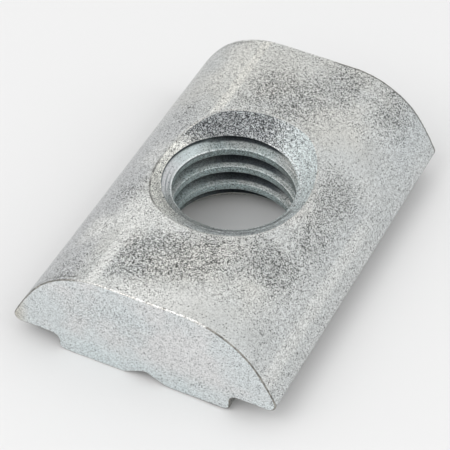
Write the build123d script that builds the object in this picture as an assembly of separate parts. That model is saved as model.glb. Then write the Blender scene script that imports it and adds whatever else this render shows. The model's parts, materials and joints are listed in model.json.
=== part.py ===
"""T-slot nut for an 8 mm slot, tapped M6: one piece, cut from drawn steel bar.

The frame: origin at the middle of the nut on the plane that its guide pad stands on, +Z towards
the crown, +Y along the bar that the nut is cut from, X across the slot. All sizes are in mm.
"""
from build123d import *
import os
from math import cos, radians, sin, tan

# Overall sizes of the nut
nut_length = 16.0
nut_width = 11.5
nut_height = 4.5

# Crown: a flat on top, a shoulder arc each side of it, and a long flank arc down to each lip.
# The flank is set by how steeply it leaves the shoulder and how steeply it meets the lip.
crown_flat_width = 3.4
flank_top_slope = 57.5
flank_foot_slope = 64.8
lip_nose_radius = 0.25

# Guide pad: the step under the lips that runs between the lips of the slot
pad_width = 7.6
pad_height = 0.85
pad_corner_radius = 0.3
root_fillet_radius = 0.3

# Shallow centring groove along the middle of the pad
groove_width = 1.9
groove_depth = 0.38
groove_root_radius = 0.3

# Threaded hole: the wall is drawn at the thread's minor diameter
thread_minor_diameter = 5.15
crown_countersink_diameter = 7.45
crown_countersink_angle = 112.0
base_countersink_diameter = 6.7
base_countersink_angle = 80.0


def side_radii():
    """Radii of the shoulder and flank arcs that run tangent from the crown flat to the lip's nose."""
    top, foot = radians(flank_top_slope), radians(flank_foot_slope)
    across = nut_width / 2 - lip_nose_radius * (1 - sin(foot)) - crown_flat_width / 2
    down = nut_height - pad_height - lip_nose_radius * (1 + cos(foot))
    # The two arcs together span this width and this drop, which is linear in their radii
    shoulder_across, shoulder_down = sin(top), 1 - cos(top)
    flank_across, flank_down = sin(foot) - sin(top), cos(top) - cos(foot)
    scale = shoulder_across * flank_down - flank_across * shoulder_down
    shoulder_radius = (across * flank_down - flank_across * down) / scale
    flank_radius = (shoulder_across * down - across * shoulder_down) / scale
    return shoulder_radius, flank_radius


def round_corners(section, places, radius):
    """Fillet the corners of the section that lie at the given places."""
    corners = section.vertices()
    fillet([corners.sort_by_distance(place)[0] for place in places], radius)


def bar_section():
    """Section of the drawn bar, in X and Z: domed crown, lips and guide pad, with the groove."""
    shoulder_radius, flank_radius = side_radii()
    pad_side = pad_width / 2
    half_turn = 180.0
    with BuildSketch(Plane.XZ.offset(-nut_length / 2)) as section:
        with BuildLine():
            flat = Line((0, nut_height), (crown_flat_width / 2, nut_height))
            shoulder = JernArc(flat @ 1, flat % 1, shoulder_radius, -flank_top_slope)
            flank_turn = flank_top_slope - flank_foot_slope
            flank = JernArc(shoulder @ 1, shoulder % 1, flank_radius, flank_turn)
            nose = JernArc(flank @ 1, flank % 1, lip_nose_radius, flank_foot_slope - half_turn)
            Polyline(nose @ 1, (pad_side, pad_height), (pad_side, 0), (0, 0))
            mirror(about=Plane.YZ)
        make_face()
        with BuildLine():
            Polyline((-groove_width / 2, 0), (0, groove_depth), (groove_width / 2, 0), close=True)
        make_face(mode=Mode.SUBTRACT)
        round_corners(section, [(-pad_side, pad_height), (pad_side, pad_height)], root_fillet_radius)
        round_corners(section, [(-pad_side, 0), (pad_side, 0)], pad_corner_radius)
        round_corners(section, [(0, groove_depth)], groove_root_radius)
    return section.sketch


def t_slot_nut():
    """The bar section cut to length, then drilled and countersunk from both faces."""
    crown_face = Plane(origin=(0, 0, nut_height))
    pad_face = Plane(origin=(0, 0, 0), z_dir=(0, 0, -1))
    with BuildPart() as nut:
        extrude(bar_section(), amount=nut_length)
        with Locations(crown_face):
            CounterSinkHole(
                thread_minor_diameter / 2,
                crown_countersink_diameter / 2,
                depth=nut_height,
                counter_sink_angle=crown_countersink_angle,
            )
        with Locations(pad_face):
            CounterSinkHole(
                thread_minor_diameter / 2,
                base_countersink_diameter / 2,
                depth=nut_height,
                counter_sink_angle=base_countersink_angle,
            )
    return nut.part


def countersink_depth(mouth_diameter, angle):
    """How far below its mouth a countersink meets the threaded wall."""
    return (mouth_diameter - thread_minor_diameter) / 2 / tan(radians(angle / 2))


nut = t_slot_nut()
crown_depth = countersink_depth(crown_countersink_diameter, crown_countersink_angle)
base_depth = countersink_depth(base_countersink_diameter, base_countersink_angle)
print("shoulder and flank radii: {:.3f} and {:.3f} mm".format(*side_radii()))
print(f"threaded wall from z = {base_depth:.3f} to {nut_height - crown_depth:.3f} mm")
print(f"volume {nut.volume:.1f} cubic mm")

os.makedirs("parts", exist_ok=True)
export_step(nut, "parts/t_slot_nut.step")
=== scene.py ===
# %% [markdown]
# # A zinc-plated T-slot nut
# The nut is a short length of drawn steel bar. Its crown and flanks come out of the drawing die, its two
# ends are sheared, a drill and two countersinks open the hole, and a tap cuts the thread. Then the whole
# piece is zinc plated, so every surface wears the same metal over a different texture. The packed model
# comes in first as the fixed frame, and its box is printed.

import json
import math

import bmesh
import bpy
import numpy as np
from mathutils import Matrix, Vector, noise


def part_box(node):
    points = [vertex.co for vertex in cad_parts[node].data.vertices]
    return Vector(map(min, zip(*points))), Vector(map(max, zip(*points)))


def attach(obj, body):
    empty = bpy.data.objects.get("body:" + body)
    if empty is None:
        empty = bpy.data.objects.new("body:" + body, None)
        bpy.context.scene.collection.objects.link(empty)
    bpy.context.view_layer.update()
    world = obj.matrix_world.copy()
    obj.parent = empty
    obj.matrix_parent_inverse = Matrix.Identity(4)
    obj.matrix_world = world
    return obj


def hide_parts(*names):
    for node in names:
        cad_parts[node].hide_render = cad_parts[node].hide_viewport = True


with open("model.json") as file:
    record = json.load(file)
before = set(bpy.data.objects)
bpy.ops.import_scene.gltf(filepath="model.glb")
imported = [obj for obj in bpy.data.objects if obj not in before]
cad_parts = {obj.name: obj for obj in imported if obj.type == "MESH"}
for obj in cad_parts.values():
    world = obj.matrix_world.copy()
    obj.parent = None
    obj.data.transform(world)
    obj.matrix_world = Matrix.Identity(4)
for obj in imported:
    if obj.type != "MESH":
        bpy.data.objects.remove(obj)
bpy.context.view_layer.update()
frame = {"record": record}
low_corner, high_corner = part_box("t_slot_nut")
print("CAD box in mm:", [round(1000 * side, 3) for side in high_corner - low_corner])

# %% [markdown]
# ## Sizes
# A scene in metres is awkward for a part that is 16 mm long, so the mesh code works in millimetres and
# the finished mesh is scaled once. Length, width, height and the thread's minor radius are read from the
# frame, and the crown bulges a little above its nominal height. The others are the sizes that the bar's
# die and the cutting tools would be ordered by.

# %% Sizes in millimetres
MM = 0.001

half_length = high_corner.y / MM
half_width = high_corner.x / MM
crown_bulge = 0.06
crown_height = high_corner.z / MM + crown_bulge

crown_half_flat = 1.7
flank_top_slope = math.radians(57.5)
flank_foot_slope = math.radians(64.8)
pad_corner_radius = 0.3
root_fillet_radius = 0.3
groove_half_width = 0.95
groove_depth = 0.44
groove_root_radius = 0.3
groove_mouth_radius = 0.08

crown_sink_radius, crown_sink_half_angle = 3.725, math.radians(56.0)
base_sink_radius, base_sink_half_angle = 3.35, math.radians(40.0)
end_break = 0.055
rim_break = 0.05
base_rim_break = 0.02

thread_mount = next(m for m in frame["record"]["mounts"] if m["name"] == "thread")
minor_radius = thread_mount["dims"]["r_mm"]
print("minor radius:", minor_radius, "mm, crown height:", round(crown_height, 3), "mm")

# %% [markdown]
# ## The bar's section
# A drawn section is a chain of straights and arcs that run smoothly into each other. A chain of spans,
# each with a length and a curvature, says exactly that, and a point at any distance along it follows
# from sines and cosines. A spline would also pass through such points, but it would bulge between them.

# %% Walk along a chain of spans
def trace(spans, start, heading, distance):
    """x and z at each distance along (length, curvature) spans; a positive curvature bends downwards."""
    x = start[0] + 0.0 * distance
    z = start[1] + 0.0 * distance
    run = 0.0
    for length, curvature in spans:
        step = np.clip(distance - run, 0.0, length)
        if curvature:
            x += (np.sin(heading + curvature * step) - math.sin(heading)) / curvature
            z += (np.cos(heading + curvature * step) - math.cos(heading)) / curvature
        else:
            x += step * math.cos(heading)
            z -= step * math.sin(heading)
        heading += curvature * length
        run += length
    return x, z


def arc(radius, turn):
    """The span that turns by an angle, down for a positive turn and up for a negative one."""
    return radius * abs(turn), math.copysign(1.0 / radius, turn)


quarter = math.pi / 2
print("a nose's quarter turn of 0.38 mm radius is", round(arc(0.38, quarter)[0], 3), "mm long")

# %% [markdown]
# The top chain starts on the crown's centre line and ends on the tip of the lip's nose. The bottom chain
# carries on from there under the lip, round the pad and into the shallow groove that keeps the nut from
# rocking. The shoulder and flank radii follow from the width and the height: two unknowns, two
# equations. The die is a little worn, so the left lip is wider and lower than the right one, and each
# half gets its own few sizes.

# %% The two half sections
def half_section(width, lip_height, nose_radius, pad_half_width):
    """The spans of one half: over the top to the nose's tip, and from there to the middle of the groove."""
    sin_top, cos_top = math.sin(flank_top_slope), math.cos(flank_top_slope)
    sin_foot, cos_foot = math.sin(flank_foot_slope), math.cos(flank_foot_slope)
    shoulder_radius, flank_radius = np.linalg.solve(
        [[sin_top, sin_foot - sin_top], [1 - cos_top, cos_top - cos_foot]],
        [width - crown_half_flat - nose_radius * (1 - sin_foot),
         crown_height - lip_height - nose_radius * (1 + cos_foot)],
    )
    top = [
        (crown_half_flat, 0.0),
        arc(shoulder_radius, flank_top_slope),
        arc(flank_radius, flank_foot_slope - flank_top_slope),
        arc(nose_radius, quarter - flank_foot_slope),
    ]
    groove_slope = math.atan2(groove_depth, groove_half_width)
    mouth_trim = groove_mouth_radius * math.tan(groove_slope / 2)
    root_trim = groove_root_radius * math.tan(groove_slope)
    bottom = [
        arc(nose_radius, quarter),
        (width - nose_radius - pad_half_width - root_fillet_radius, 0.0),
        arc(root_fillet_radius, -quarter),
        (lip_height - root_fillet_radius - pad_corner_radius, 0.0),
        arc(pad_corner_radius, quarter),
        (pad_half_width - pad_corner_radius - groove_half_width - mouth_trim, 0.0),
        arc(groove_mouth_radius, groove_slope),
        (math.hypot(groove_half_width, groove_depth) - mouth_trim - root_trim, 0.0),
        arc(groove_root_radius, -groove_slope),
    ]
    print("half section: shoulder radius", round(shoulder_radius, 3), "flank radius", round(flank_radius, 3))
    top_reach = sum(length for length, curvature in top)
    lengths = [length for length, curvature in bottom]
    from_middle = [sum(lengths) - sum(lengths[:n]) for n in range(len(lengths) + 1)]
    return {"width": width, "tip": lip_height + nose_radius, "top": top, "bottom": bottom,
            "top_reach": top_reach, "nose_start": top_reach - top[-1][0], "from_middle": from_middle}


halves = {
    -1: half_section(width=half_width + 0.11, lip_height=0.74, nose_radius=0.33, pad_half_width=3.86),
    1: half_section(width=half_width - 0.02, lip_height=0.92, nose_radius=0.38, pad_half_width=3.76),
}


# %% [markdown]
# With the two halves known, a place on the nut is one signed distance from the centre line: negative to
# the left, positive to the right. There is one such surface for the top and one for the underside.

# %% The top and the underside
def on_half(side, chain, distance):
    """x and z at unsigned distances from the centre line, on the top or the bottom of one half."""
    half = halves[side]
    if chain == "top":
        x, z = trace(half["top"], (0.0, crown_height), 0.0, distance)
    else:
        x, z = trace(half["bottom"], (half["width"], half["tip"]), quarter, half["from_middle"][0] - distance)
    return side * x, z


def on_both(chain):
    """A surface: the function that gives x and z at signed distances from the centre line."""
    def surface(distance):
        left, right = (on_half(side, chain, np.abs(distance)) for side in (-1, 1))
        return np.where(distance < 0, left, right)
    return surface


top_place, bottom_place = on_both("top"), on_both("bottom")
print("groove bottom at", bottom_place(np.array([1e-6])).round(3).ravel())

# %% [markdown]
# ## Grid lines that make room for a hole
# A hole cut into an even grid leaves ragged slivers round its rim, and they show in the shading. So the
# grid is laid with the hole in mind: a square block of lines in the middle is left out, and its border
# is moved out to the rim. Lines next to it close up and lines far away stay straight, along the bar.
# The rim isn't a circle seen from the side: the countersink's cone runs off the crown down the shoulders.

# %% Grid lines
def spread(marks, counts):
    """Lines from mark to mark, each stretch divided into its own number of steps."""
    stretches = [np.linspace(a, b, n + 1)[:-1] for a, b, n in zip(marks, marks[1:], counts)]
    return np.concatenate(stretches + [marks[-1:]])


def both_sides(left, right):
    """The left half's lines, turned round and negative, followed by the right half's."""
    return np.concatenate([-left[:0:-1], right])


SAMPLES = 20001


def distance_at(side, width):
    """The distance over the top of one half at which it is that far from the centre line."""
    distances = np.linspace(0.0, halves[side]["top_reach"] * 0.999, SAMPLES)
    widths = side * on_half(side, "top", distances)[0]
    return float(np.interp(width, np.maximum.accumulate(widths), distances))


print("4 mm to the right lies", round(distance_at(1, 4.0), 3), "mm down the shoulder")

# %% [markdown]
# A countersink is a cone, and both directions are needed: its radius at a height finds the rim, and its
# height at a radius places the points between rim and bore.

# %% Cones
class Cone:
    """A countersink: its mouth's radius and height, half its angle, and 1 or -1 as it opens up or down."""

    def __init__(self, mouth_radius, mouth_z, half_angle, opens):
        self.mouth_radius, self.mouth_z, self.opens = mouth_radius, mouth_z, opens
        self.slope = math.tan(half_angle)

    def radius(self, z):
        """The radius at a height."""
        return self.mouth_radius - (self.mouth_z - z) * self.opens * self.slope

    def height(self, radius):
        """The height at a radius."""
        return self.mouth_z - self.opens * (self.mouth_radius - radius) / self.slope


crown_cone = Cone(crown_sink_radius, crown_height, crown_sink_half_angle, 1)
base_cone = Cone(base_sink_radius, 0.0, base_sink_half_angle, -1)
print("the cones meet the bore at", [round(cone.height(minor_radius), 3) for cone in (crown_cone, base_cone)])

# %% [markdown]
# `drilled_grid` returns the points of such a grid. For each line across the bar it asks how far from the
# bore's axis the cone meets the surface at that height, and moves the block's border there.

# %% A grid with a hole
HOLE_LINES = 30


def rim_reach(surface, cone_radius, distance):
    """How far along the bar, from the bore's axis, the countersink's rim lies at a place across it."""
    x, z = surface(distance)
    return np.sqrt(np.maximum(cone_radius(z) ** 2 - x ** 2, 0.0))


def drilled_grid(surface, across, along, cone_radius, across_ends, along_end):
    """Points of a grid over one face of the bar, its middle block moved out to the countersink's rim."""
    middle, row = len(across) // 2, len(along) // 2 + HOLE_LINES
    block_y = along[row]
    u, v = np.meshgrid(across, along, indexing="ij")
    moved_u = u.copy()
    for side, end in across_ends.items():
        block_x = side * across[middle + side * HOLE_LINES]
        samples = np.linspace(block_x, end, SAMPLES)
        rim = rim_reach(surface, cone_radius, side * samples)
        rim_u = np.interp(np.abs(v), rim[::-1], samples[::-1])
        beside = (np.abs(v) <= block_y) & (side * u >= block_x) & (side * u <= end)
        share = (side * u - block_x) / (end - block_x)
        moved_u = np.where(beside, side * (rim_u + share * (end - rim_u)), moved_u)
    inner = (u >= across[middle - HOLE_LINES]) & (u <= across[middle + HOLE_LINES])
    beyond = inner & (np.abs(v) >= block_y) & (np.abs(v) <= along_end)
    rim_v = rim_reach(surface, cone_radius, u)
    share = (np.abs(v) - block_y) / (along_end - block_y)
    moved_v = np.where(beyond, np.sign(v) * (rim_v + share * (along_end - rim_v)), v)
    x, z = surface(moved_u)
    return np.stack([x, moved_v, z], axis=-1)


print("rim at x 0:", round(float(rim_reach(top_place, crown_cone.radius, np.array(0.0))), 3), "mm")

# %% [markdown]
# The lines themselves are closest where the section bends most: round the nose, in the root fillet and
# at the groove. The top and the underside use the same number of lines, stretch by stretch, because the
# end faces and the bore will join them one to one.

# %% Lines over the top and the underside
side_counts = [HOLE_LINES, 9, 16, 15, 7]
groove_counts = [5, 8, 4]
shoulder_mark, flank_mark = 3.5, 4.15
hole_half_block = 2.45
rim_search = (1.5, 3.3)


def rounded_crown_cone(z):
    """The radius of the crown's countersink, widened by the rounding of its rim."""
    return crown_cone.radius(z) + rim_break


hole_end_y = float(rim_reach(top_place, rounded_crown_cone, np.array(hole_half_block)))


def block_mark(side, surface, cone_radius):
    """The distance at which the countersink's rim is as far along the bar as the hole's block."""
    distances = np.linspace(*rim_search, SAMPLES)
    reach = rim_reach(surface, cone_radius, side * distances)
    return float(np.interp(hole_end_y, reach[::-1], distances[::-1]))


def top_lines(side):
    """Lines over one half of the top: the hole's block, the shoulder, the flank and the nose."""
    marks = [0.0, block_mark(side, top_place, rounded_crown_cone), distance_at(side, shoulder_mark),
             distance_at(side, flank_mark), halves[side]["nose_start"], halves[side]["top_reach"]]
    return spread(marks, side_counts)


def bottom_lines(side):
    """Lines over one half of the underside: groove, pad, root fillet, lip and nose."""
    ends = halves[side]["from_middle"]
    block_end = block_mark(side, bottom_place, base_cone.radius)
    marks = [0.0, *ends[8:5:-1], block_end, ends[5], *ends[2::-1]]
    counts = groove_counts + [HOLE_LINES - sum(groove_counts)] + side_counts[1:]
    return spread(marks, counts)


skin_end = half_length - end_break
even_strip = 0.6
settled_end = skin_end - even_strip
top_across = both_sides(top_lines(-1), top_lines(1))
bottom_across = both_sides(bottom_lines(-1), bottom_lines(1))
half_along = spread([0.0, hole_end_y, settled_end, skin_end], [HOLE_LINES, 34, 8])
along = both_sides(half_along, half_along)
print(len(top_across), "lines across and", len(along), "along, on each face")

# %% [markdown]
# ## Patches
# The nut's surface is sewn from rectangular patches of points. Each one knows the finish that it will
# carry. A patch with a hole skips the faces of its middle block.

# %% Patch list
SKIN, END, BREAK, SINK, BORE = range(5)
patches = []


def patch(points, finish, skip=None, closed=False):
    """Keeps one rectangular sheet of points and the finish of its faces. A closed sheet meets itself."""
    if closed:
        points = np.concatenate([points, points[:, :1]], axis=1)
    patches.append((points, finish, skip))


nose_starts = {side: half["nose_start"] for side, half in halves.items()}
pad_edges = {side: half["from_middle"][5] for side, half in halves.items()}
top_grid = drilled_grid(top_place, top_across, along, rounded_crown_cone, nose_starts, settled_end)
bottom_grid = drilled_grid(bottom_place, bottom_across, along, base_cone.radius, pad_edges, settled_end)

middle_u, middle_v = len(top_across) // 2, len(along) // 2
block = np.zeros((len(top_across) - 1, len(along) - 1), bool)
block[middle_u - HOLE_LINES:middle_u + HOLE_LINES, middle_v - HOLE_LINES:middle_v + HOLE_LINES] = True
patch(top_grid, SKIN, block)
patch(bottom_grid, SKIN, block)
print("skin patches:", top_grid.shape, bottom_grid.shape)

# %% [markdown]
# ## Sheared ends
# The shear leaves a flat face with a small rolled edge, a little heavier where the blade entered. The
# edge is a few rings of points that turn from the skin onto the end face. How far each ring reaches in
# changes along the outline, so the edge catches the light unevenly.

# %% Rolled edges and end faces
def uneven(points, scale, seed):
    """A smooth random value from -1 to 1 for each point, the same on every run."""
    shift = Vector((seed * 7.3, seed * 3.1, seed * 5.7))
    flat = points.reshape(-1, 3)
    values = [noise.noise(Vector(p) * scale + shift) for p in flat]
    return np.array(values).reshape(points.shape[:-1])


edge_unevenness, edge_waves = 0.5, 1.7
ROUND_ROWS, CAP_ROWS, WALL_ROWS = 5, 19, 25


def end_cap(column):
    """The rolled edge and the end face at the first or the last column of the skins."""
    side = -1.0 if column == 0 else 1.0
    upper, lower = top_grid[:, column], bottom_grid[:, column]
    ring = np.concatenate([upper, lower[-2:0:-1]])
    tangent = np.roll(ring, -1, axis=0) - np.roll(ring, 1, axis=0)
    normal = np.stack([-tangent[:, 2], 0 * tangent[:, 0], tangent[:, 0]], axis=-1)
    normal /= np.linalg.norm(normal, axis=1)[:, None]
    reach = end_break * (1.0 + edge_unevenness * uneven(ring, edge_waves, 1 + column))
    rings = []
    for turn in np.linspace(0.0, quarter, ROUND_ROWS):
        moved = ring - normal * (reach * (1 - math.cos(turn)))[:, None]
        moved[:, 1] = side * (skin_end + end_break * math.sin(turn))
        rings.append(moved)
    patch(np.stack(rings), BREAK, closed=True)
    last = rings[-1]
    count = len(upper)
    under = np.concatenate([last[:1], last[:count - 1:-1], last[count - 1:count]])
    share = np.linspace(0.0, 1.0, CAP_ROWS)[:, None, None]
    patch(last[:count] * (1 - share) + under * share, END)


end_cap(0)
end_cap(len(along) - 1)
print(len(patches), "patches with the ends")

# %% [markdown]
# ## Drilled hole
# From the rim inwards the hole is a rounded lip of a few hundredths, the wide cone of the countersink,
# the drilled wall and the steeper cone in the pad. Each column of points keeps its own angle about the
# bore's axis, and turns gently from its place on the upper rim to its place on the lower one.

# %% Countersinks and drilled wall
def rim_loop(grid):
    """The points round the hole's border, counter-clockwise from its first corner."""
    near_u, far_u = middle_u - HOLE_LINES, middle_u + HOLE_LINES
    near_v, far_v = middle_v - HOLE_LINES, middle_v + HOLE_LINES
    return np.concatenate([
        grid[near_u:far_u, near_v], grid[far_u, near_v:far_v],
        grid[far_u:near_u:-1, far_v], grid[near_u, far_v:near_v:-1],
    ])


def on_cone(radius, angle, z):
    """Points at a radius and an angle about the bore's axis."""
    return np.stack([radius * np.cos(angle), radius * np.sin(angle), z + 0 * radius], axis=-1)


rounding_depth = 1.7


def sink_rows(rim, break_size, height_at, steps):
    """Rows from the rim over its small rounding and down the cone to the drilled wall."""
    angle = np.arctan2(rim[:, 1], rim[:, 0])
    radius = np.hypot(rim[:, 0], rim[:, 1])
    corner = on_cone(radius - break_size, angle, rim[:, 2])
    start = radius - rounding_depth * break_size
    onto_cone = on_cone(start, angle, height_at(start))
    rows = [rim * (1 - t) ** 2 + corner * 2 * t * (1 - t) + onto_cone * t ** 2
            for t in np.linspace(0.0, 1.0, ROUND_ROWS)]
    for share in np.linspace(0.0, 1.0, steps + 1)[1:]:
        radius_here = start + (minor_radius - start) * share
        rows.append(on_cone(radius_here, angle, height_at(radius_here)))
    return angle, np.stack(rows)


crown_angle, crown_rows = sink_rows(rim_loop(top_grid), rim_break, crown_cone.height, 12)
base_angle, base_rows = sink_rows(rim_loop(bottom_grid), base_rim_break, base_cone.height, 10)
patch(crown_rows[:ROUND_ROWS], BREAK, closed=True)
patch(crown_rows[ROUND_ROWS - 1:], SINK, closed=True)
patch(base_rows, SINK, closed=True)

wall_top = crown_cone.height(minor_radius)
wall_foot = base_cone.height(minor_radius)
angle_change = (base_angle - crown_angle + math.pi) % (2 * math.pi) - math.pi
wall = []
for share in np.linspace(0.0, 1.0, WALL_ROWS):
    height = wall_top + (wall_foot - wall_top) * share
    wall.append(on_cone(0 * crown_angle + minor_radius, crown_angle + angle_change * share, height))
patch(np.stack(wall), BORE, closed=True)
print("drilled wall from", round(wall_foot, 3), "to", round(wall_top, 3), "mm")

# %% [markdown]
# ## Sewing the patches together
# The patches share their border points exactly, so welding points that lie in the same place closes the
# skin. A closed skin has two faces on every edge, and the count below shows that none is missing.

# %% Weld the blank
def shell(name, points, faces, finishes):
    """A mesh whose touching points are welded and whose faces look outwards, with a bmesh to work on."""
    mesh = bpy.data.meshes.new(name)
    mesh.from_pydata(points, [], faces)
    mesh.polygons.foreach_set("material_index", finishes)
    bm = bmesh.new()
    bm.from_mesh(mesh)
    bmesh.ops.remove_doubles(bm, verts=bm.verts, dist=1e-5)
    bmesh.ops.delete(bm, geom=[v for v in bm.verts if not v.link_faces], context="VERTS")
    bmesh.ops.recalc_face_normals(bm, faces=bm.faces)
    open_edges = sum(not e.is_manifold for e in bm.edges)
    print(name, len(bm.faces), "faces,", open_edges, "open edges, volume", round(bm.calc_volume(), 2))
    return mesh, bm


def sew(name):
    """One closed mesh, still in millimetres, from all the patches."""
    points, faces, finishes = [], [], []
    for sheet, finish, skip in patches:
        rows, columns = sheet.shape[:2]
        base = len(points)
        points.extend(sheet.reshape(-1, 3).tolist())
        for i in range(rows - 1):
            for j in range(columns - 1):
                if skip is not None and skip[i, j]:
                    continue
                corner = base + i * columns + j
                faces.append((corner, corner + 1, corner + columns + 1, corner + columns))
                finishes.append(finish)
    return shell(name, points, faces, finishes)


nut_mesh, nut_bm = sew("t_slot_nut_plated")

# %% [markdown]
# ## Hand of the die and the barrel
# Drawn and tumbled steel is never dead flat. Each point moves along its normal by a few microns: long
# waves along the bar, a shorter ripple and a fine one. The shear leaves the ends a little out of square,
# and the pad is worn low on its right side. All this is done before tapping, because the thread is cut
# into the blank as it is.

# %% Small unevenness
near_end_out, near_end_skew, near_left_spread = 0.035, 0.03, 0.04
far_end_out, far_end_skew = 0.055, 0.02
pad_wear, pad_wear_height = 0.08, 0.6
long_wave_height, ripple_height, fine_height, sunk_by = 0.010, 0.006, 0.003, 0.002


def out_of_true(point):
    """How the bar departs from its drawing: long, slightly skewed ends and a pad worn on its right side."""
    share = max(0.0, (abs(point.y) - 0.5 * half_length) / (0.5 * half_length))
    to_left, to_right = min(0.0, point.x / half_width), max(0.0, point.x / half_width)
    low = max(0.0, 1.0 - point.z / pad_wear_height)
    x, y = 0.0, (far_end_out + far_end_skew * to_right) * share
    if point.y < 0:
        x, y = near_left_spread * share * to_left, (near_end_skew * to_left - near_end_out) * share
    return Vector((x, y, pad_wear * to_right * low))


def skin_lift(point):
    """How far a point of the surface stands proud, in millimetres."""
    long_wave = noise.noise(Vector((point.x * 0.9, point.y * 0.12, point.z * 0.9)))
    ripple = noise.noise(point * 1.4 + Vector((11.0, 5.0, 2.0)))
    fine = noise.noise(point * 4.5 + Vector((3.0, 17.0, 9.0)))
    return long_wave_height * long_wave + ripple_height * ripple + fine_height * fine - sunk_by


nut_bm.normal_update()
lifts = [(v, v.normal * skin_lift(v.co) + out_of_true(v.co)) for v in nut_bm.verts]
for vertex, lift in lifts:
    vertex.co += lift
nut_bm.to_mesh(nut_mesh)
nut_bm.free()
print("largest lift", round(max(lift.length for vertex, lift in lifts), 4), "mm")

# %% [markdown]
# ## Tapping the thread
# A tap takes a groove out of the drilled wall. Here the tap is one ridge wound into a helix: a trapezium
# of the thread's form, carried round and upwards by one pitch a turn. Cutting it away with an exact
# Boolean gives crisp flanks that run out into both countersinks as they do on the real nut, which a
# bump texture can't do. Six turns are wound, a little more than the blank is high, so that the thread
# goes right through.

# %% Wind the tap
pitch = 1.0
major_radius = 3.02
crest_flat = 0.30
flank_rise = math.tan(math.radians(30.0))
crest_depth_at_x_axis = 1.83
crest_foot_at_x_axis = crown_height - crest_depth_at_x_axis
tap_core_radius = 2.42


def tap_profile():
    """Radius and height of the ridge's corners, measured from the foot of the crest beside it."""
    middle = (pitch + crest_flat) / 2
    mouth = (pitch - crest_flat) / 2
    inner = mouth + (minor_radius - tap_core_radius) * flank_rise
    root = mouth - (major_radius - minor_radius) * flank_rise
    lower = [(tap_core_radius, middle - inner), (major_radius, middle - root)]
    upper = [(major_radius, middle + root), (tap_core_radius, middle + inner)]
    sides = []
    for (r0, z0), (r1, z1) in (lower, upper):
        for t in np.linspace(0.0, 1.0, 5):
            sides.append((r0 + (r1 - r0) * t, z0 + (z1 - z0) * t))
    return sides


def wind_tap(steps_per_turn=120, first_turn=-4, last_turn=2):
    """The tap's ridge as a closed mesh, wound over whole turns."""
    profile = tap_profile()
    size = len(profile)
    points, faces = [], []
    steps = (last_turn - first_turn) * steps_per_turn
    for step in range(steps + 1):
        turn = first_turn + step / steps_per_turn
        angle = 2 * math.pi * turn
        for radius, rise in profile:
            z = crest_foot_at_x_axis + pitch * turn + rise
            points.append((radius * math.cos(angle), radius * math.sin(angle), z))
    for step in range(steps):
        for k in range(size):
            a, b = step * size + k, step * size + (k + 1) % size
            faces.append((a, b, b + size, a + size))
    faces.append(tuple(range(size)))
    faces.append(tuple(steps * size + k for k in range(size)))
    mesh, bm = shell("tap", points, faces, [0] * len(faces))
    bm.to_mesh(mesh)
    bm.free()
    return bpy.data.objects.new("tap", mesh)


tap = wind_tap()

# %% [markdown]
# ## Finishes
# Zinc over different steel textures needs different numbers, not different ideas. So the ideas are node
# groups: a ruler in millimetres, salt-and-pepper grain, a worn patch, a slow tint, turned rings and a
# thin line. Each material places the groups that it needs and feeds them its own values. Two small
# classes keep the wiring readable. A `Value` is one output of a node: `a * b`, `a + b` or `1.0 - a` each
# add a Math node, and `a | b` takes the larger of two masks.

# %% Values
class Value:
    """One output of a node. Sums and masks made from it become nodes in the same tree."""

    def __init__(self, wiring, socket):
        self.wiring, self.socket = wiring, socket

    def math(self, operation, *others):
        """The result of one Math node that takes this value first."""
        return self.wiring.node("Math", 0, dict(enumerate((self, *others))), operation=operation)

    def vector(self, operation, other=(0, 0, 0), result="Vector"):
        """The result of one Vector Math node."""
        return self.wiring.node("VectorMath", result, {0: self, 1: other}, operation=operation)

    def step(self, zero_at, one_at):
        """A soft step from 0 to 1, upwards or downwards along the value."""
        inputs = {"Value": self, "From Min": zero_at, "From Max": one_at}
        return self.wiring.node("MapRange", 0, inputs, interpolation_type="SMOOTHSTEP")

    def mix(self, first, second):
        """The first colour where this mask is 0, the second where it is 1."""
        return self.wiring.node("Mix", 2, {0: self, 6: first, 7: second}, data_type="RGBA")

    def __add__(self, other):
        return self.math("ADD", other)

    def __sub__(self, other):
        return self.math("SUBTRACT", other)

    def __rsub__(self, other):
        return self.wiring.node("Math", 0, {0: other, 1: self}, operation="SUBTRACT")

    def __mul__(self, other):
        return self.math("MULTIPLY", other)

    def __truediv__(self, other):
        return self.math("DIVIDE", other)

    def __or__(self, other):
        return self.math("MAXIMUM", other)


print("a Value can", [name for name in vars(Value) if name[0] != "_"])

# %% [markdown]
# `Wiring` adds every other node to a tree, and `new_group` makes the tree of a node group with its named
# sockets. The default of a colour socket has a fourth number, its opacity.

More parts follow.
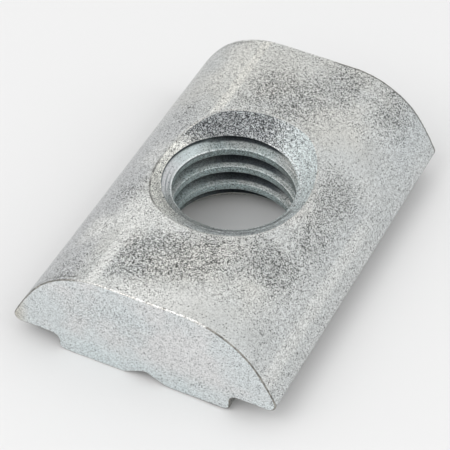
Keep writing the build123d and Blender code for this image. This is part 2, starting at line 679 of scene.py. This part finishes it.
# %% Wiring and groups
class Wiring:
    """A node tree with short ways to add to it. Every input takes a Value or a plain number."""

    def __init__(self, tree):
        self.tree = tree

    def plug(self, socket, value):
        """Links a value to an input, or writes a plain one into it. Colours are red, green, blue."""
        if isinstance(value, Value):
            self.tree.links.new(value.socket, socket)
        elif socket.type == "RGBA":
            socket.default_value = (*value, 1.0)
        else:
            socket.default_value = value

    def node(self, kind, result, inputs, **settings):
        """Adds a node, sets its properties, fills its inputs and returns the output or outputs asked for."""
        made = self.tree.nodes.new("ShaderNode" + kind)
        for name, value in settings.items():
            setattr(made, name, value)
        for key, value in inputs.items():
            self.plug(made.inputs[key], value)
        if isinstance(result, tuple):
            return [Value(self, made.outputs[key]) for key in result]
        return Value(self, made.outputs[result])

    def place(self, group, result, **inputs):
        """Places a group. Its inputs are given by name, with underscores for spaces."""
        filled = {label.replace("_", " "): value for label, value in inputs.items()}
        return self.node("Group", result, filled, node_tree=group.tree)

    def noise(self, point, scale, detail, roughness=0.5):
        """A smooth noise around 0.5."""
        inputs = {"Vector": point, "Scale": scale, "Detail": detail, "Roughness": roughness}
        return self.node("TexNoise", "Fac", inputs)


GREY = (0.5, 0.5, 0.5, 1)
ORIGIN = (0, 0, 0)


def new_group(name, inputs, outputs):
    """A new node group: its wiring, the values that it takes and a function that hands one out."""
    group = bpy.data.node_groups.new(name, "ShaderNodeTree")
    for label, default in inputs.items():
        kind = "Float" if isinstance(default, float) else {3: "Vector", 4: "Color"}[len(default)]
        socket = group.interface.new_socket(name=label, in_out="INPUT", socket_type="NodeSocket" + kind)
        socket.default_value = default
    for label, kind in outputs.items():
        group.interface.new_socket(name=label, in_out="OUTPUT", socket_type="NodeSocket" + kind)
    wiring = Wiring(group)
    given = group.nodes.new("NodeGroupOutput").inputs
    takes = [Value(wiring, socket) for socket in group.nodes.new("NodeGroupInput").outputs]
    print("group", name, "takes", list(inputs), "and gives", list(outputs))
    return wiring, takes[:len(inputs)], lambda label, value: wiring.plug(given[label], value)


# %% [markdown]
# ### A ruler in millimetres
# The object's own coordinates are metres from the frame's origin, and they ride with the part. Here they
# become millimetres. "Across" and "Along" are shares of half the width and half the length, and the radius
# is measured from the bore's axis, because countersink and thread are turned about it.

# %% Group: ruler
readings = ("X", "Y", "Z", "Radius", "Across", "Along")
ruler, no_inputs, give = new_group("ruler", {}, {"Point": "Vector", **dict.fromkeys(readings, "Float")})
in_mm = ruler.node("TexCoord", "Object", {}).vector("MULTIPLY", (1 / MM,) * 3)
x, y, z = ruler.node("SeparateXYZ", ("X", "Y", "Z"), {0: in_mm})
from_axis = ruler.node("CombineXYZ", 0, {0: x, 1: y}).vector("LENGTH", result="Value")
give("Point", in_mm)
for label, reading in zip(readings, (x, y, z, from_axis, x / half_width, y / half_length)):
    give(label, reading)

# %% [markdown]
# ### Salt-and-pepper grain
# Under a hand lens the plating is a crowd of crystals, each a few hundredths of a millimetre across and
# each a little lighter or darker than its neighbours. A Voronoi texture divides space into just such
# cells and gives each one random numbers. One number makes a crystal lighter or darker by "Contrast",
# more often lighter than darker. A second Voronoi with somewhat larger cells turns the given share of
# them, "Pits", into dark pits of their own colour. Both are felt in the height as well.

# %% Group: salt and pepper
pepper, (point, base, pit_colour, grains_per_mm, contrast, pits), give = new_group(
    "salt_and_pepper",
    {"Point": ORIGIN, "Colour": GREY, "Pit colour": GREY, "Grains per mm": 36.0, "Contrast": 0.3,
     "Pits": 0.05},
    {"Colour": "Color", "Pitted": "Float", "Height": "Float"})
pits_per_grain = 0.75


def cell_numbers(cells_per_mm):
    """Three random numbers for each cell of a Voronoi texture."""
    cells = pepper.node("TexVoronoi", "Color", {"Vector": point, "Scale": cells_per_mm})
    return pepper.node("SeparateColor", ("Red", "Green", "Blue"), {0: cells})


swing = cell_numbers(grains_per_mm)[0].step(0.15, 0.60) * 1.6 - 1.0
grained = pepper.node("VectorMath", 0, {0: base, "Scale": swing * contrast + 1.0}, operation="SCALE")
lot, depth = cell_numbers(grains_per_mm * pits_per_grain)[1:]
pitted = lot.math("LESS_THAN", pits) * (depth * 0.3 + 0.7)
give("Colour", pitted.mix(grained, pit_colour))
give("Pitted", pitted)
give("Height", swing * 0.3 - pitted)

# %% [markdown]
# ### Worn patch
# Pitting gathers in patches where the bar rubbed or where acid pooled before plating, and other patches
# are rubbed bright. A patch is a rounded box: the fourth powers of the three distances are added up,
# which is squarer than a ball. A coarse noise pushes its border in and out, and "Fade" softens it.

# %% Group: worn patch
worn, (point, centre, reach, fade, ragged), give = new_group(
    "worn_patch", {"Point": ORIGIN, "Centre": ORIGIN, "Reach": (1, 1, 1), "Fade": 0.4, "Ragged": 0.5},
    {"Mask": "Float"})
in_reach = point.vector("SUBTRACT", centre).vector("DIVIDE", reach)
boxy = in_reach.vector("MULTIPLY", in_reach).vector("LENGTH", result="Value").math("SQRT")
pushed = boxy + (worn.noise(point, 1.3, 4.0, 0.65) - 0.5) * ragged
give("Mask", ((1.0 - pushed) / fade).step(0.0, 1.0))

# %% [markdown]
# ### Slow tint
# The zinc's colour drifts over a few millimetres between a cool grey and a warm one. A very coarse noise
# picks a place between the two. Placed with a finer noise, the same tint breaks a thin edge's painted
# highlight and painted shade up into ticks and beads.

# %% Group: slow tint
drift, (point, patches_per_mm, cool, warm), give = new_group(
    "slow_tint", {"Point": ORIGIN, "Patches per mm": 0.3, "Cool": GREY, "Warm": GREY}, {"Colour": "Color"})
give("Colour", drift.noise(point, patches_per_mm, 3.0, 0.55).step(0.38, 0.62).mix(cool, warm))

# %% [markdown]
# ### Turned rings
# A countersink and a tap leave fine rings. They are a streaky noise along one coordinate, the radius on a
# cone or the height on a thread, bent a little by a second noise so that no two are alike.

# %% Group: turned rings
turned, (point, along_value, rings_per_mm, waver), give = new_group(
    "turned_rings", {"Point": ORIGIN, "Along": 0.0, "Rings per mm": 8.0, "Waver": 0.3}, {"Line": "Float"})
bent = along_value + turned.noise(point, 0.8, 2.0) * waver
streak = turned.node(
    "TexNoise", "Fac", {"W": bent * rings_per_mm, "Scale": 1.0, "Detail": 2.0, "Roughness": 0.7},
    noise_dimensions="1D")
give("Line", streak.step(0.40, 0.66))

# %% [markdown]
# ### Thin line
# Rims and edges carry hair lines: a scratch or tool line, a painted highlight along a crest, painted shade
# in a corner. A line is where one coordinate is close to a value, and a noise bends it a little so that it
# doesn't look ruled.

# %% Group: thin line
hair, (point, along_value, middle, half_thick, waver), give = new_group(
    "thin_line", {"Point": ORIGIN, "Along": 0.0, "At": 0.0, "Half width": 0.02, "Waver": 0.0},
    {"Mask": "Float"})
off_line = (along_value + (hair.noise(point, 2.2, 3.0) - 0.5) * waver - middle).math("ABSOLUTE")
give("Mask", (off_line / half_thick).step(1.6, 0.6))

# %% [markdown]
# ### The plated steel itself
# All finishes are made the same way: a base colour, masks that paint other tones over it, the grain,
# and a metal shader with a bump of a few microns. `Finish` is the wiring of such a material. It keeps the
# ruler's readings at hand and the colour so far. Rows of numbers place the worn patches on the crown:
# the centre across and along, the reach across and along, the fade, the raggedness and the weight. In
# each material's cells `m` is the finish in the making.

# %% A finish in the making
class Finish(Wiring):
    """The wiring of one plated material, with the ruler's readings and the colour so far."""

    def __init__(self, name):
        self.material = bpy.data.materials.new(name)
        self.material.use_nodes = True
        self.material.node_tree.nodes.clear()
        super().__init__(self.material.node_tree)
        (self.point, self.x, self.y, self.z, self.radius,
         self.across, self.along) = self.place(ruler, ("Point", *readings))

    def paint(self, mask, tone):
        """Lays a tone over the colour so far, where the mask says so."""
        self.colour = mask.mix(self.colour, tone)

    def tint(self, patches_per_mm, cool, warm):
        """A colour that drifts between two."""
        return self.place(drift, 0, Point=self.point, Patches_per_mm=patches_per_mm, Cool=cool, Warm=warm)

    def rings(self, along, per_mm, waver):
        """The mask of fine rings along a coordinate."""
        return self.place(turned, 0, Point=self.point, Along=along, Rings_per_mm=per_mm, Waver=waver)

    def line(self, along, middle, half_thick, waver):
        """The mask of a thin line across a coordinate."""
        return self.place(
            hair, 0, Point=self.point, Along=along, At=middle, Half_width=half_thick, Waver=waver)

    def worn_box(self, centre, reach, fade, ragged, point=None):
        """A worn patch, placed by shares of half the width, half the length and the height."""
        size = Vector((half_width, half_length, crown_height))
        return self.place(worn, 0, Point=point or self.point, Centre=size * Vector(centre),
                          Reach=size * Vector(reach), Fade=fade, Ragged=ragged)

    def zones(self, *rows, point=None):
        """The largest of several worn patches on the upper skin, each one times its weight."""
        largest = None
        for across, along, reach_across, reach_along, fade, ragged, *weight in rows:
            mask = self.worn_box((across, along, 0.85), (reach_across, reach_along, 0.6), fade, ragged, point)
            mask = mask * weight[0] if weight else mask
            largest = largest | mask if largest else mask
        return largest

    def metal(self, pit_colour, contrast, pits, matte=False, cut=None):
        """Lays the grain over the colour so far, adds the metal shader and returns the material."""
        colour, pitted, height = self.place(
            pepper, ("Colour", "Pitted", "Height"), Point=self.point, Colour=self.colour,
            Pit_colour=pit_colour, Contrast=contrast, Pits=pits)
        height = height - cut if cut else height
        bump = self.node("Bump", 0, {"Strength": 0.35, "Distance": 0.02 * MM, "Height": height})
        shader = self.node("BsdfPrincipled", 0, {
            "Base Color": colour, "Roughness": pitted * 0.15 + 0.5 if matte else 0.45, "Metallic": 0.85,
            "Normal": bump})
        self.plug(self.tree.nodes.new("ShaderNodeOutputMaterial").inputs["Surface"], shader)
        print("material", self.material.name, "has", len(self.tree.nodes), "nodes")
        return self.material


# %% [markdown]
# ### Drawn skin
# Crown, flanks and underside wear matte grey zinc. It is pitted before and behind the hole, in clusters
# on the left shoulder and down the right one. It is rubbed pale by the front edge, beside the hole's near
# left and at the back left, and a painted highlight runs along the line where the flat crown turns into the
# left shoulder. In all these places it has fewer pits. The patch before the hole lies aslant, so its points
# are sheared sideways.

# %% Where the skin is worn
m = Finish("zinc_on_drawn_skin")
slanted = m.node("CombineXYZ", 0, {0: m.x, 1: m.y - m.x * 0.36, 2: m.z})
right_of_ridge = m.across.step(-0.37, -0.33)
before_hole = m.zones((-0.02, -0.675, 0.56, 0.22, 0.55, 1.0), point=slanted) * right_of_ridge
behind_hole = m.zones((0.00, 0.63, 0.45, 0.27, 0.75, 1.1)) * right_of_ridge
behind_right = m.zones((0.32, 0.84, 0.24, 0.24, 0.8, 0.8), (0.70, 0.86, 0.20, 0.22, 0.8, 0.8))
right_shoulder = m.zones((0.60, -0.47, 0.28, 0.20, 0.8, 0.6), (0.72, -0.15, 0.16, 0.34, 0.8, 0.5, 0.7))
right_flank = m.zones((0.70, 0.14, 0.20, 0.26, 0.8, 0.6))
left_shoulder = m.zones((-0.60, -0.32, 0.14, 0.15, 0.9, 0.5), (-0.60, 0.34, 0.14, 0.18, 0.9, 0.5, 0.6),
                        (-0.62, -0.92, 0.20, 0.16, 0.9, 0.5, 0.6))
pitting = (before_hole | behind_hole | behind_right * 0.75 | right_shoulder * 0.85
           | right_flank * 0.5 | left_shoulder * 0.8)

# Painted highlight: a pale line high on the crown, where the flat turns into the left shoulder.
ridge = m.line(m.x, -0.40 * half_width, 0.20, 0.18) * m.z.step(2.0, 3.0)
lip_edge = m.line(m.x, 0.91 * half_width, 0.16, 0.2) * m.y.step(3.0, 0.0) * m.z.step(0.9, 1.1)
rubbed_and_highlight = m.zones(
    (-0.44, -0.48, 0.22, 0.22, 0.9, 0.5), (-0.50, 0.78, 0.24, 0.34, 1.0, 0.5, 0.65),
    (-0.22, -0.48, 0.28, 0.12, 0.9, 0.6, 0.75), (-0.60, 0.00, 0.16, 0.16, 0.9, 0.5, 0.5),
    (-0.62, -0.60, 0.18, 0.16, 0.9, 0.5, 0.9), (0.84, 0.34, 0.16, 0.14, 0.9, 0.5, 0.2))
by_front_edge = m.zones((0.03, -0.99, 0.55, 0.18, 0.7, 0.8, 0.85), point=slanted)
rubbed_and_highlight = rubbed_and_highlight | by_front_edge | ridge * 0.9 | lip_edge * 0.5

dulled = m.zones((0.74, -0.82, 0.14, 0.22, 0.8, 0.5, 0.5), (0.74, 0.52, 0.14, 0.20, 0.8, 0.5, 0.4))
dulled = dulled | right_shoulder * 0.85 | right_flank * 0.8 | behind_right * 0.5 | behind_hole * 0.2
pitting = pitting * (1.0 - rubbed_and_highlight * 0.7)
print("the skin's wear takes", len(m.tree.nodes), "nodes")

# %% [markdown]
# The left flank is painted a little darker and bluer than the crown as painted shade, most towards the
# front, and the right one a little cooler. Painted shade darkens the skin under the lips, a hair line
# beside each end of the left flank where its edge rolls over, and the foot of the far burr. One small dent
# sits on the left shoulder, its hollow painted dark as shade. The grain is weaker on the steep left flank
# and in two smooth places on the right.

# %% Material: drawn skin
m.colour = m.tint(0.28, (0.552, 0.567, 0.560), (0.572, 0.574, 0.551))
# Painted shade: the left flank is painted darker and bluer, fully over the front and middle, fading to three
# tenths towards the back.
left_flank_shade_front = m.along.step(0.55, 0.1) * 0.7 + 0.3
m.paint(m.across.step(-0.45, -0.62) * left_flank_shade_front, (0.505, 0.515, 0.519))
m.paint(m.across.step(0.55, 0.85) * 0.7, (0.548, 0.570, 0.575))
m.paint(dulled, (0.440, 0.452, 0.445))
# Pale tone over the rubbed places and over the painted highlight along the left shoulder.
m.paint(rubbed_and_highlight, m.along.step(0.0, 0.6).mix((0.690, 0.695, 0.678), (0.700, 0.695, 0.655)))
m.paint(m.zones((1.0, 0.9, 0.30, 0.35, 0.9, 0.3, 0.6)), (0.520, 0.560, 0.575))

end_edge_shade = m.line(m.y.math("ABSOLUTE"), half_length - 0.15, 0.03, 0.30)
end_edge_shade = end_edge_shade * m.across.step(-0.46, -0.54) * m.z.step(1.4, 2.2)
burr_foot_shade = m.line(m.y, half_length - 0.03, 0.035, 0.04) * m.across.step(0.12, 0.2) * m.z.step(0.9, 1.1)
dent = m.zones((-0.64, 0.394, 0.018, 0.010, 0.5, 0.0))
under_lip_shade = m.z.step(1.0, 0.9) * m.z.step(0.15, 0.4)
# Painted shade, nearly black: under the lips, in the dent's hollow, along the rolled edge by the left flank's
# ends and at the far burr's foot.
m.paint(end_edge_shade * 0.55 | dent | under_lip_shade * 0.55 | burr_foot_shade * 0.7, (0.11, 0.11, 0.10))

smooth_places = m.zones((0.45, -0.94, 0.55, 0.18, 0.8, 0.5), (0.60, 0.44, 0.30, 0.20, 0.9, 0.5))
grainy = 1.0 - (m.across.step(-0.70, -0.90) * 0.4 | smooth_places) * 0.55
contrast, pits = (pitting * 0.26 + 0.44) * grainy, (pitting * 0.28 + 0.070) * grainy
skin_finish = m.metal((0.020, 0.021, 0.019), contrast, pits, matte=True, cut=dent * 3.0)

# %% [markdown]
# ### Sheared end
# The end is paler and bluer than the skin and has finer, sparser grain, a little denser on the left half
# and in one cluster low on the right. Its left tip is stained a warm brown-grey.

# %% Material: sheared end
m = Finish("zinc_on_sheared_end")
m.colour = m.tint(0.35, (0.660, 0.695, 0.702), (0.705, 0.708, 0.708))
m.paint(m.z.step(0.35 * crown_height, 0.12 * crown_height) * 0.5, (0.67, 0.74, 0.75))
m.paint(m.across.step(-0.88, -1.04), (0.56, 0.54, 0.48))
specks = (m.worn_box((-0.35, 0.0, 0.62), (0.5, 2.0, 0.30), 0.9, 0.9)
          | m.worn_box((0.43, 0.0, 0.20), (0.09, 2.0, 0.09), 0.9, 0.5))
end_finish = m.metal((0.13, 0.14, 0.15), specks * 0.08 + 0.31, specks * 0.15 + 0.04, matte=True)

# %% [markdown]
# ### Rolled edge
# At the front the thin edge between skin and end carries a painted highlight, broken into bright ticks,
# in the middle, and towards both flanks painted shade in brown beads. At the far end a painted highlight
# lies on the pale burr, with a gap in it. The hole's rim wears the same finish: a broken dark line on its
# near left, and a painted highlight as a soft pale lip at its near right.

# %% Material: rolled edge
m = Finish("zinc_on_rolled_edge_with_painted_light")
m.colour = m.tint(0.8, (0.46, 0.47, 0.46), (0.56, 0.56, 0.54))
tick_highlight = m.tint(3.0, (0.66, 0.65, 0.62), (0.86, 0.86, 0.84))
bead_shade = m.tint(5.0, (0.070, 0.065, 0.055), (0.300, 0.290, 0.260))
broken = m.tint(2.0, (0.11, 0.11, 0.10), (0.45, 0.45, 0.43))

front, back = m.along.step(-0.9, -0.92), m.along.step(0.9, 0.92)
# Painted highlight: bright ticks along the middle of the front edge.
m.paint(m.across.step(-0.50, -0.15) * m.across.step(0.50, 0.46) * front * m.z.step(2.0, 3.0), tick_highlight)
# Painted shade: dark brown beads on the front edge towards both flanks.
m.paint((m.across.step(-0.48, -0.56) * 0.7 | m.across.step(0.46, 0.50) * 0.85) * front, bead_shade)
# Painted highlight along the far end's burr, with a gap in it.
burr_highlight = m.across.step(0.12, 0.18) * m.across.step(0.68, 0.64) | m.across.step(0.80, 0.84)
m.paint(burr_highlight * back, (0.88, 0.86, 0.80))

at_hole = m.radius.step(4.2, 4.0)
m.paint(at_hole * m.across.step(-0.25, -0.42) * m.along.step(0.02, -0.10) * 0.8, broken)
# Painted highlight: a soft pale lip on the hole's near right rim.
m.paint(at_hole * m.across.step(0.12, 0.35) * m.along.step(0.0, -0.15) * 0.5, tick_highlight)
edge_finish = m.metal((0.14, 0.13, 0.11), 0.40, 0.08)

# %% [markdown]
# ### Countersink
# Fine rings run round both cones. The back of the crown's countersink is heavily pitted and darker, its
# left side is pale and beige and its right side cooler. On the near side the rings are coarse and grey,
# and a few pale and dark lines follow the tool's path close to the bore. They are kept soft, because
# the near side is seen at a grazing angle from the front and quite openly from behind.

# %% Material: countersink
m = Finish("zinc_on_countersink")
m.colour = m.x.step(-1.5, 1.5).mix((0.700, 0.700, 0.660), (0.590, 0.640, 0.642))
upper = m.z.step(2.2, 2.6)
near = m.y.step(-1.7, -2.9) * m.x.step(-2.2, 0.6) * upper
m.paint(near * 0.85, m.rings(m.radius, 4.5, 0.25).mix((0.66, 0.70, 0.70), (0.33, 0.36, 0.37)))
back = (m.y - m.x * 0.35).step(1.5, 3.0) * upper * (1.0 - m.x.step(-0.1, 1.8) * 0.85)
m.paint(back, (0.290, 0.303, 0.308))
fine_rings = m.rings(m.radius, 11.0, 0.12)
m.paint(fine_rings * 0.22, (0.22, 0.24, 0.24))

near_half = m.y.step(-0.4, -1.2)
pale = (m.line(m.radius, 2.72, 0.022, 0.03) * 0.7 | m.line(m.radius, 2.49, 0.17, 0.14) * near_half
        | m.line(m.radius, 3.06, 0.08, 0.10) * near_half * m.x.step(-0.6, 0.8) * 0.6)
m.paint(pale * 0.65, (0.86, 0.88, 0.88))
inner = m.line(m.radius, 2.80, 0.07, 0.16) * m.y.step(-0.2, -0.8) * m.x.step(-2.2, -1.2)
outer = m.line(m.radius, 3.16, 0.06, 0.08) * m.y.step(-0.8, -1.8)
m.paint(inner * 0.6 | outer * 0.25, (0.07, 0.08, 0.08))

rough = back | near * 0.4 | m.y.step(0.0, -1.5) * 0.2 | 0.05
sink_finish = m.metal((0.015, 0.017, 0.020), rough * 0.50 + 0.48, rough * 0.30 + 0.10, cut=fine_rings * 0.4)

# %% [markdown]
# ### Thread
# Tone follows the helix here, so the material first works out how far a point has climbed, in turns from
# the foot of the crest. The flanks are teal-grey, and the crests are painted paler as painted light. On
# the right the groove is painted pale as painted light, with fine tool lines, and elsewhere its bottom is
# painted nearly black as painted shade. Where the first turn runs out into the countersink on the left,
# the flank is smooth and painted pale as painted light, with a dark line, and a painted highlight runs
# along its crest.

# %% Material: thread
m = Finish("zinc_on_thread")
crest_share = crest_flat / pitch
share_of_turn = (m.x * -1.0).math("ARCTAN2", m.y) * (1 / (2 * math.pi)) + 0.25
climbed = (m.z - crest_foot_at_x_axis) * (1 / pitch) - share_of_turn
up_crest = climbed.math("FRACT")
first_turn = climbed.step(0.15, 0.30)
right, left = m.x.step(0.3, 1.9), m.x.step(-1.3, -2.6)

m.colour = m.tint(0.5, (0.275, 0.325, 0.325), (0.325, 0.342, 0.335))
# Painted light: the crests are painted paler, less so on the right, to lift their upright faces, which the
# lamps leave darker than the flanks.
on_crest = up_crest.step(crest_share + 0.03, crest_share - 0.02)
m.paint(on_crest * (1.0 - right * 0.5), (0.590, 0.690, 0.690))
run_out = first_turn * m.x.step(-1.9, -2.6)
# Painted light: the up-facing run-out flank is painted pale where it lies open to the lamps, palest towards
# the front.
m.paint(run_out, m.y.step(1.0, -0.6).mix((0.600, 0.668, 0.674), (0.700, 0.705, 0.720)))
scored = m.y.step(0.2, -1.2) * 0.75 + 0.12
m.paint(run_out * m.rings(m.radius, 9.0, 0.08) * scored, (0.22, 0.26, 0.27))

sunk = m.radius - run_out * 0.10 - first_turn * 0.16 - first_turn * right * 0.10
in_groove = sunk.step(2.70, 2.78)
m.paint(m.rings(climbed, 9.0, 0.05) * right * 0.8, (0.70, 0.70, 0.67))
# Painted light: the groove on the right is painted pale against the shade that it would hold.
m.paint(in_groove * right * 0.85, (0.66, 0.67, 0.65))
m.paint(m.rings(climbed, 6.5, 0.05) * (right * 0.50 + 0.30), (0.14, 0.18, 0.18))
# Painted shade: the groove's bottom under the ridge above is painted nearly black, most on the far side and
# in the run-out, less on the left, not on the right.
groove_shade_weight = (m.y.step(0.2, 1.8) * 0.45 + 0.50) * (1.0 - (left * 0.6 | right))
m.paint(in_groove * (groove_shade_weight | run_out), (0.040, 0.048, 0.056))

first_left = first_turn * left
m.paint(first_left * m.line(m.radius, 2.58, 0.03, 0.02) * 0.7, (0.12, 0.14, 0.15))
# Painted highlight along the crest's edge, strongest on the first turn at the left.
m.paint(m.line(up_crest, crest_share, 0.028, 0.01) * (first_left * 0.78 + 0.22), (0.80, 0.84, 0.84))
thread_finish = m.metal((0.08, 0.10, 0.10), 0.45 - run_out * 0.28, 0.09 - run_out * 0.06)

# %% [markdown]
# ## The finished nut
# The blank gets its five finishes, in the order that the patches used, and the tap carries the thread's
# finish, so the Boolean passes it on to the faces it cuts. Faces are shaded smooth and the edges sharper
# than a set angle are kept crisp: the thread's crests and the line between cone and wall.

# %% Tap the blank
crisp_angle = math.radians(38.0)
blank = bpy.data.objects.new("t_slot_nut_plated", nut_mesh)
for finish in (skin_finish, end_finish, edge_finish, sink_finish, thread_finish):
    nut_mesh.materials.append(finish)
tap.data.materials.append(thread_finish)
for item in (blank, tap):
    bpy.context.scene.collection.objects.link(item)

cut = blank.modifiers.new("tapping", "BOOLEAN")
cut.operation = "DIFFERENCE"
cut.solver = "EXACT"
cut.object = tap
cut.material_mode = "TRANSFER"
bpy.context.view_layer.update()
tapped_mesh = bpy.data.meshes.new_from_object(blank.evaluated_get(bpy.context.evaluated_depsgraph_get()))
blank.modifiers.clear()
blank.data = tapped_mesh
bpy.data.objects.remove(tap)
tapped_mesh.transform(Matrix.Scale(MM, 4))
tapped_mesh.shade_smooth()
tapped_mesh.set_sharp_from_angle(angle=crisp_angle)
print("tapped nut:", len(tapped_mesh.polygons), "faces,", [finish.name for finish in tapped_mesh.materials])

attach(blank, "root")
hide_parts("t_slot_nut")

# %% [markdown]
# ## Floor, light and camera
# A plain pale floor, one large soft lamp on each side and an even sky. The lamps are dim enough that a
# colour comes out about as it was written.

# %% Floor
floor_half = 2.0
corners = [(x * floor_half, y * floor_half, 0) for x, y in ((-1, -1), (1, -1), (1, 1), (-1, 1))]
floor_mesh = bpy.data.meshes.new("floor")
floor_mesh.from_pydata(corners, [], [(0, 1, 2, 3)])
floor = bpy.data.objects.new("floor", floor_mesh)
floor_paint = bpy.data.materials.new("floor_paint")
floor_paint.use_nodes = True
floor_shader = floor_paint.node_tree.nodes["Principled BSDF"]
floor_shader.inputs["Base Color"].default_value = (0.72, 0.72, 0.72, 1)
floor_shader.inputs["Roughness"].default_value = 0.9
floor_mesh.materials.append(floor_paint)
bpy.context.scene.collection.objects.link(floor)
print("floor of", 2 * floor_half, "m")

# %% [markdown]
# The sky is even and white. Zinc mirrors its surroundings softly, so most of the nut's tone is this sky.

# %% Sky
world = bpy.data.worlds.new("sky")
bpy.context.scene.world = world
world.use_nodes = True
sky = world.node_tree.nodes["Background"]
sky.inputs["Color"].default_value = (1.0, 1.0, 1.0, 1)
sky.inputs["Strength"].default_value = 0.95
print("sky strength", round(sky.inputs["Strength"].default_value, 2))

# %% [markdown]
# The key lamp stands at the front left and the weaker side lamp on the right, both near and large, which
# keeps the shadow soft and the two flanks alike.

# %% Lamps
crown_centre = Vector((0, 0, crown_height)) * MM


def soft_lamp(name, azimuth, elevation, distance, size, power):
    """A square lamp that looks at the crown from a direction given in degrees."""
    light = bpy.data.lights.new(name, "AREA")
    light.energy = power
    light.size = size
    lamp = bpy.data.objects.new(name, light)
    turn, lift = math.radians(azimuth), math.radians(elevation)
    away = Vector((math.sin(turn) * math.cos(lift), -math.cos(turn) * math.cos(lift), math.sin(lift)))
    lamp.location = crown_centre + away * distance
    lamp.rotation_euler = away.to_track_quat("Z", "Y").to_euler()
    bpy.context.scene.collection.objects.link(lamp)
    print(name, "at mm", [round(c / MM) for c in lamp.location])


soft_lamp("key_lamp", -25, 50, 0.20, 0.14, 0.13)
soft_lamp("side_lamp", 95, 40, 0.20, 0.14, 0.064)

# %% [markdown]
# The camera looks down on the nut from the front right with a long lens. Its direction is given as a
# turn from the bar's end and a height above the floor, and its distance is what the perspective asks for.

# %% Camera
view_azimuth = math.radians(26.34)
view_elevation = math.radians(45.07)
view_distance = 86.76 * MM
hole_right_of_axis = 0.383 * MM
hole_above_axis = 2.189 * MM

view_right = Vector((math.cos(view_azimuth), math.sin(view_azimuth), 0))
view_forward = Vector((-math.sin(view_azimuth) * math.cos(view_elevation),
                       math.cos(view_azimuth) * math.cos(view_elevation), -math.sin(view_elevation)))
view_up = view_right.cross(view_forward)
camera_data = bpy.data.cameras.new("camera")
camera_data.sensor_width = 36.0
camera_data.lens = 171.06
camera_data.clip_start = 0.001
camera = bpy.data.objects.new("camera", camera_data)
camera.location = (crown_centre - view_right * hole_right_of_axis - view_up * hole_above_axis
                   - view_forward * view_distance)
camera.rotation_euler = (quarter - view_elevation, 0.0, view_azimuth)
bpy.context.scene.collection.objects.link(camera)
bpy.context.scene.camera = camera
bpy.context.scene.view_settings.view_transform = "Standard"
print("camera at mm", [round(c / MM, 2) for c in camera.location])

# %% [markdown]
# ## Sizes
# The dressed nut must stay as large as the packed one.
